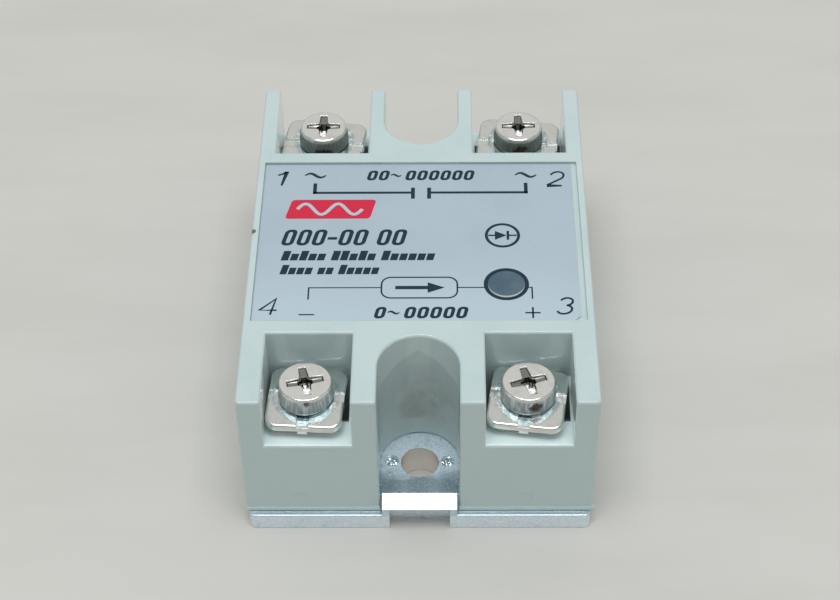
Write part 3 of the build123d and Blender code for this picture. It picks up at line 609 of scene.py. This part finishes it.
def build_screw(number):
    low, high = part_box("terminal_screw_" + number)
    radius = (high.x - low.x) / 2 / MM
    height = (high.z - low.z) / MM
    turn = RECESS_TURN[number]
    rim = RIM_SCALE[number]
    bm = bmesh.new()
    side = 2 * KNURL_RIDGES

    def ring(inset, z, ripple=0.0):
        return add_loop(bm, circle(radius - HEAD_DRAFT * (z + HEAD_H) - inset, z, side, ripple))

    under = -HEAD_H
    loops = [
        ring(0.30, under),
        ring(0.12, under + 0.08),
        ring(0.02, under + 0.26),
        ring(0.0, under + 0.34, 0.14),
        ring(0.0, -0.28 * rim, 0.14),
        ring(0.01 * rim, -0.20 * rim),
        ring(0.02 * rim, -0.13 * rim),
        ring(0.05 * rim, -0.06 * rim),
        ring(0.09 * rim, -0.02 * rim),
        ring(0.14 * rim, -0.004 * rim),
        ring(0.20 * rim, 0.0),
    ]
    for lower, upper in zip(loops, loops[1:]):
        bridge(bm, lower, upper)
    # recess walls, sunk in steps to a pointed bottom
    walls = [
        add_loop(bm, cross(2.38, 0.50, 0.62, 0.0, turn)),
        add_loop(bm, cross(2.30, 0.43, 0.55, -0.10, turn)),
        add_loop(bm, cross(2.20, 0.40, 0.51, -0.30, turn)),
        add_loop(bm, cross(0.98, 0.34, 0.45, -0.38, turn)),
        add_loop(bm, cross(0.62, 0.20, 0.30, -1.50, turn)),
    ]
    fill_between(bm, loops[-1], walls[0])
    for upper, lower in zip(walls, walls[1:]):
        bridge(bm, upper, lower)
    bottom = bm.verts.new((0, 0, -1.85))
    for i, vert in enumerate(walls[-1]):
        bm.faces.new((vert, walls[-1][(i + 1) % len(walls[-1])], bottom))
    # shank with its thread
    steps = int((height - HEAD_H) / (PITCH / 8))
    rings = []
    for k in range(steps + 1):
        z = under - (height - HEAD_H) * k / steps
        rings.append(add_loop(bm, thread_ring(z, under, -height)))
    fill_between(bm, loops[0], rings[0])
    for upper, lower in zip(rings, rings[1:]):
        bridge(bm, upper, lower)
    bm.faces.new(rings[-1])
    centre = Vector(((low.x + high.x) / 2, (low.y + high.y) / 2, high.z))
    for vert in bm.verts:
        vert.co = centre + vert.co * MM
    stains = [(tuple(centre + Vector(offset) * MM), r) for offset, r in STAINS[number]]
    look = nickel_look("screw_nickel_" + number, stains, tuple(centre), HEAD_SIDE_SHADE[number])
    piece = new_piece("knurled_screw_" + number, bm, look, "screw_" + number)
    smooth_by_angle(piece, 26)
    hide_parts("terminal_screw_" + number)


for number in TERMINALS:
    build_screw(number)


# ---- crinkled metal in the two stake marks beside the mounting hole ------------------------------
STAKE_R = 0.86
STAKE_X = 3.7
STAKE_Y = -23.7
STAKE_TOP = 4.42


def build_stake(name, side):
    """Burst metal: rings of a shallow cone, torn into uneven peaks, on a flat underside."""
    bm = bmesh.new()
    count = 20
    loops = []
    for r, z in ((STAKE_R, 4.16), (STAKE_R, 4.20), (0.66, 4.28), (0.44, 4.34), (0.22, 4.36)):
        points = []
        for i in range(count):
            angle = 2 * math.pi * i / count
            torn = 0.12 * math.sin(4 * angle + 7 * r * side) + 0.08 * math.sin(7 * angle - 11 * r)
            lift = torn if r < STAKE_R else 0.0
            points.append(((side * STAKE_X + r * math.cos(angle)) * MM, (STAKE_Y + r * math.sin(angle)) * MM,
                           min(z + lift, STAKE_TOP) * MM))
        loops.append(add_loop(bm, points))
    for lower, upper in zip(loops, loops[1:]):
        bridge(bm, lower, upper)
    bm.faces.new(loops[0])
    bm.faces.new(loops[-1])
    new_piece(name, bm, BURST_ZINC, "relay_body")


BURST_ZINC = metal_look("burst_zinc", (0.86, 0.92, 0.96), 0.10)
build_stake("stake_mark_left", -1)
build_stake("stake_mark_right", 1)


# ---- print on the label ------------------------------------------------------------------------
INK_T = 0.015
SLANT = 0.22              # italic lean, in X per Y
LABEL_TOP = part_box("face_label")[1].z / MM
WINDOW_LOW, WINDOW_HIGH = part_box("indicator_window")
WINDOW = ((WINDOW_LOW.x + WINDOW_HIGH.x) / 2 / MM, (WINDOW_LOW.y + WINDOW_HIGH.y) / 2 / MM)
WINDOW_R = (WINDOW_HIGH.x - WINDOW_LOW.x) / 2 / MM


class Ink:
    """Flat closed shapes on the label. All lengths in millimetres."""

    def __init__(self, lift=0.0):
        self.bm = bmesh.new()
        self.low = (LABEL_TOP + lift) * MM
        self.high = (LABEL_TOP + lift + INK_T) * MM

    def levels(self, outline):
        return [add_loop(self.bm, [(x * MM, y * MM, z) for x, y in outline]) for z in (self.low, self.high)]

    def shape(self, outline):
        lower, upper = self.levels(outline)
        bridge(self.bm, lower, upper)
        self.bm.faces.new(list(reversed(lower)))
        self.bm.faces.new(upper)

    def hollow(self, outer, inner):
        """Shape between two outlines with the same number of points."""
        outer_low, outer_high = self.levels(outer)
        inner_low, inner_high = self.levels(inner)
        bridge(self.bm, outer_low, outer_high)
        bridge(self.bm, inner_high, inner_low)
        bridge(self.bm, outer_high, inner_high)
        bridge(self.bm, inner_low, outer_low)

    def stroke(self, points, widths):
        """Line through the points. widths is one number, or one for each point."""
        if isinstance(widths, float):
            widths = [widths] * len(points)
        left, right = [], []
        for i, (x, y) in enumerate(points):
            before = points[max(i - 1, 0)]
            after = points[min(i + 1, len(points) - 1)]
            along = Vector((after[0] - before[0], after[1] - before[1])).normalized()
            turn = 1.0
            if 0 < i < len(points) - 1:
                first = Vector((x - before[0], y - before[1])).normalized()
                turn = max(0.5, first.dot(along))
            across = Vector((-along.y, along.x)) * widths[i] / 2 / turn
            left.append((x + across.x, y + across.y))
            right.append((x - across.x, y - across.y))
        left_low, left_high = self.levels(left)
        right_low, right_high = self.levels(right)
        strips = ((left_high, right_high), (right_low, left_low),
                  (left_low, left_high), (right_high, right_low))
        for i in range(len(points) - 1):
            for a, b in strips:
                self.bm.faces.new((a[i], b[i], b[i + 1], a[i + 1]))
        for i in (0, -1):
            self.bm.faces.new((left_low[i], left_high[i], right_high[i], right_low[i]))

    def bar(self, x0, y0, x1, y1, width):
        self.stroke([(x0, y0), (x1, y1)], width)

    def wave(self, x, y, length, height, width):
        """One wave, thin at its ends, that climbs a little."""
        count = 24
        points, widths = [], []
        for i in range(count + 1):
            t = i / count
            points.append((x + length * (t - 0.5), y + height * (math.sin(2 * math.pi * t) + 0.12 * t)))
            widths.append(width * (0.4 + 0.6 * math.sin(math.pi * t)))
        self.stroke(points, widths)

    def done(self, name, look):
        new_piece(name, self.bm, look, "relay_body")


def arc(x, y, rx, ry, start, end, steps=14):
    return [(x + rx * math.cos(math.radians(start + (end - start) * i / steps)),
             y + ry * math.sin(math.radians(start + (end - start) * i / steps))) for i in range(steps + 1)]


# strokes of the terminal numbers in a box one unit high, on its base line
DIGITS = {
    "1": [[(-0.20, 0.74), (0.02, 0.84), (0.16, 1.0), (0.16, 0.0)]],
    "2": [arc(0.0, 0.70, 0.32, 0.30, 165, -35) + [(-0.34, 0.05), (-0.34, 0.0), (0.36, 0.0)]],
    "3": [arc(-0.02, 0.76, 0.28, 0.24, 160, -80), arc(-0.02, 0.27, 0.33, 0.27, 82, -160)],
    "4": [[(0.18, 0.0), (0.18, 1.0), (-0.38, 0.28), (0.40, 0.28)]],
}


def rounded_box(x0, y0, x1, y1, radius):
    points = []
    for x, y, start in ((x1 - radius, y1 - radius, 0), (x0 + radius, y1 - radius, 90),
                        (x0 + radius, y0 + radius, 180), (x1 - radius, y0 + radius, 270)):
        points += arc(x, y, radius, radius, start, start + 90, 8)
    return points


def lean(outline, base):
    return [(x + (y - base) * SLANT, y) for x, y in outline]


def blank_text(ink, x0, x1, y0, y1, pattern):
    """A row of blank slanted glyphs: O rounded frame, T tall block, x short block, - dash, ~ wave."""
    room = {" ": 0.55, "-": 0.75, "~": 1.3}
    pitch = (x1 - x0 - (y1 - y0) * SLANT) / sum(room.get(c, 1.0) for c in pattern)
    x = x0
    for c in pattern:
        wide = pitch * room.get(c, 1.0)
        a, b = x + 0.09 * wide, x + 0.91 * wide
        tall = y1 - y0
        if c == "O":
            outer = rounded_box(a, y0, b, y1, (b - a) * 0.42)
            line = min(0.55, tall * 0.23)
            inner = rounded_box(a + line, y0 + line * 0.8, b - line, y1 - line * 0.8, (b - a) * 0.18)
            ink.hollow(lean(outer, y0), lean(inner, y0))
        elif c in "Tx":
            top = y1 if c == "T" else y0 + 0.7 * tall
            ink.shape(lean([(a, y0), (b, y0), (b, top), (a, top)], y0))
        elif c == "-":
            low, high = y0 + 0.36 * tall, y0 + 0.52 * tall
            ink.shape(lean([(a, low), (b, low), (b, high), (a, high)], y0))
        elif c == "~":
            ink.wave(x + wide / 2, (y0 + y1) / 2, wide * 0.7, tall * 0.1, 0.34)
        x += wide


def print_label():
    navy = ink_look("navy_ink", (0.009, 0.028, 0.045))
    red = ink_look("red_ink", (0.56, 0.022, 0.055))
    silver = ink_look("bare_film", (0.40, 0.49, 0.56))
    ink = Ink()
    for digit, x, y in (("1", -19.18, 9.85), ("2", 18.61, 9.65), ("3", 18.85, -14.80), ("4", -19.26, -14.85)):
        for strokes in DIGITS[digit]:
            points = [(x + (u + (v - 0.5) * SLANT) * 2.85, y + v * 2.85) for u, v in strokes]
            ink.stroke(points, 0.30)
    # load side: waves, ratings and the open contact between two brackets
    for side in (-1, 1):
        ink.wave(side * 14.45, 11.85, 2.9, 0.42, 0.46)
        ink.bar(side * 14.4, 8.1, side * 14.4, 10.25, 0.5)
    ink.bar(-14.65, 8.32, -1.25, 8.32, 0.42)
    ink.bar(1.45, 8.32, 14.65, 8.32, 0.42)
    ink.bar(-1.0, 7.09, -1.0, 9.32, 0.52)
    ink.bar(1.2, 7.09, 1.2, 9.32, 0.52)
    blank_text(ink, -7.6, 7.7, 10.85, 12.85, "OO~OOOOOO")
    # rows of blank type
    blank_text(ink, -18.7, -1.35, -2.05, 1.0, "OOO-OO OO")
    blank_text(ink, -18.4, 2.3, -4.9, -3.1, "TxTxx TTxTx Txxxxx")
    blank_text(ink, -18.4, -5.0, -7.5, -5.75, "Txxx xx Txxxx")
    # round sign with a diode symbol
    ink.hollow(arc(11.0, -0.2, 2.35, 2.35, 0, 352.5, 47), arc(11.0, -0.2, 1.95, 1.95, 0, 352.5, 47))
    ink.shape([(10.0, -1.05), (11.55, -0.2), (10.0, 0.65)])
    ink.bar(11.72, -1.05, 11.72, 0.65, 0.34)
    ink.bar(9.1, -0.2, 10.05, -0.2, 0.26)
    ink.bar(11.85, -0.2, 12.9, -0.2, 0.26)
    # control side: a box with an arrow, thin lines to the window ring and down to the signs
    ink.hollow(rounded_box(-5.0, -12.0, 5.05, -8.0, 1.35), rounded_box(-4.78, -11.78, 4.83, -8.22, 1.13))
    shaft = [(-3.1, -9.7), (-3.1, -10.3), (1.1, -10.3)]
    point = [(1.1, -10.95), (3.3, -10.0), (1.1, -9.05), (1.1, -9.7)]
    ink.shape(shaft + point)
    ink.bar(-14.4, -10.0, -5.0, -10.0, 0.17)
    ink.bar(-14.32, -10.0, -14.32, -12.15, 0.2)
    ink.bar(5.05, -10.0, WINDOW[0] - 2.75, -10.0, 0.17)
    ink.bar(WINDOW[0] + 2.75, -10.0, 14.68, -10.0, 0.17)
    ink.bar(14.6, -10.0, 14.6, -12.07, 0.2)
    inner = WINDOW_R + 0.03
    ink.hollow(arc(*WINDOW, 2.94, 2.94, 0, 354, 59), arc(*WINDOW, inner, inner, 0, 354, 59))
    ink.bar(-15.4, -14.86, -13.4, -14.86, 0.2)
    ink.bar(13.6, -14.59, 15.55, -14.59, 0.24)
    ink.bar(14.58, -15.55, 14.58, -13.6, 0.24)
    blank_text(ink, -6.0, 6.6, -15.55, -13.5, "O~OOOOO")
    ink.done("label_print_dark", navy)
    badge = Ink()
    badge.shape(lean(rounded_box(-18.2, 3.15, -6.75, 6.9, 0.5), 3.15))
    badge.done("label_print_red", red)
    wave = Ink(INK_T)
    points = [(-16.6 + 8.8 * i / 60, 5.02 + 1.05 * math.sin(4 * math.pi * i / 60)) for i in range(61)]
    wave.stroke(points, 0.5)
    wave.done("label_print_wave", silver)


print_label()


# ---- camera, light and floor -------------------------------------------------------------------
FLOOR_HALF = 2.5              # metres
FLOOR_Z = -0.02 * MM          # just under the object, so that the two surfaces don't share a plane
LIGHT_HEIGHT = 0.80           # metres
LIGHT_FORWARD = 0.09


def build_stage():
    scene = bpy.context.scene
    scene.view_settings.view_transform = "Standard"
    camera_data = bpy.data.cameras.new("camera")
    camera_data.lens = 81.1
    camera_data.sensor_width = 36.0
    camera = bpy.data.objects.new("camera", camera_data)
    camera.location = (3.37 * MM, -183.4 * MM, 196.2 * MM)
    camera.rotation_euler = tuple(math.radians(a) for a in (44.65, 0.63, 0.45))
    scene.collection.objects.link(camera)
    scene.camera = camera

    bm = bmesh.new()
    signs = ((-1, -1), (1, -1), (1, 1), (-1, 1))
    corners = [bm.verts.new((x * FLOOR_HALF, y * FLOOR_HALF, FLOOR_Z)) for x, y in signs]
    bm.faces.new(corners)
    mesh = bpy.data.meshes.new("floor")
    bm.to_mesh(mesh)
    bm.free()
    floor = bpy.data.objects.new("floor", mesh)
    scene.collection.objects.link(floor)
    look = Look("pale_floor", (0.565, 0.558, 0.53), 0.55)
    cloudy = look.noise(0.05, 4, 0.6, stretch=(0.25, 1, 1))
    look.tint((0.51, 0.503, 0.475), look.between(cloudy, 0.35, 0.7, 0.0, 0.7))
    look.emboss(0.01, look.noise(0.8, 4))
    look.clear_from_below()
    floor.data.materials.append(look.finish())

    world = bpy.data.worlds.new("soft_room")
    world.use_nodes = True
    room = world.node_tree
    background = room.nodes["Background"]
    background.inputs["Color"].default_value = (1.0, 0.985, 0.955, 1.0)
    # a dim room: a broad pale wall behind the object, which the metal reflects, and a glow high up in front
    direction = room.nodes.new("ShaderNodeSeparateXYZ")
    room.links.new(room.nodes.new("ShaderNodeTexCoord").outputs["Generated"], direction.inputs[0])

    def ramp(output, low, high):
        node = room.nodes.new("ShaderNodeMapRange")
        node.interpolation_type = "SMOOTHSTEP"
        room.links.new(direction.outputs[output], node.inputs["Value"])
        node.inputs["From Min"].default_value = low
        node.inputs["From Max"].default_value = high
        return node.outputs["Result"]

    def combine(operation, a, b):
        node = room.nodes.new("ShaderNodeMath")
        node.operation = operation
        for value, socket in ((a, node.inputs[0]), (b, node.inputs[1])):
            if isinstance(value, float):
                socket.default_value = value
            else:
                room.links.new(value, socket)
        return node.outputs[0]

    wall = combine("MULTIPLY", ramp("Z", 0.05, 0.40), ramp("Y", -0.15, 0.45))
    glow = combine("MULTIPLY", ramp("Z", 0.35, 0.80), ramp("Y", 0.05, -0.45))
    level = combine("ADD", combine("MULTIPLY", wall, 0.34), combine("MULTIPLY", glow, 0.60))
    room.links.new(combine("ADD", level, 0.31), background.inputs["Strength"])
    scene.world = world

    light_data = bpy.data.lights.new("overhead_softbox", "AREA")
    light_data.shape = "RECTANGLE"
    light_data.size = 0.55
    light_data.size_y = 0.38
    light_data.energy = 3.8
    light_data.color = (0.94, 0.98, 1.0)
    light = bpy.data.objects.new("overhead_softbox", light_data)
    light.location = (0.0, -LIGHT_FORWARD, LIGHT_HEIGHT)
    light.rotation_euler = (math.atan2(LIGHT_FORWARD, LIGHT_HEIGHT), 0.0, 0.0)
    scene.collection.objects.link(light)


build_stage()
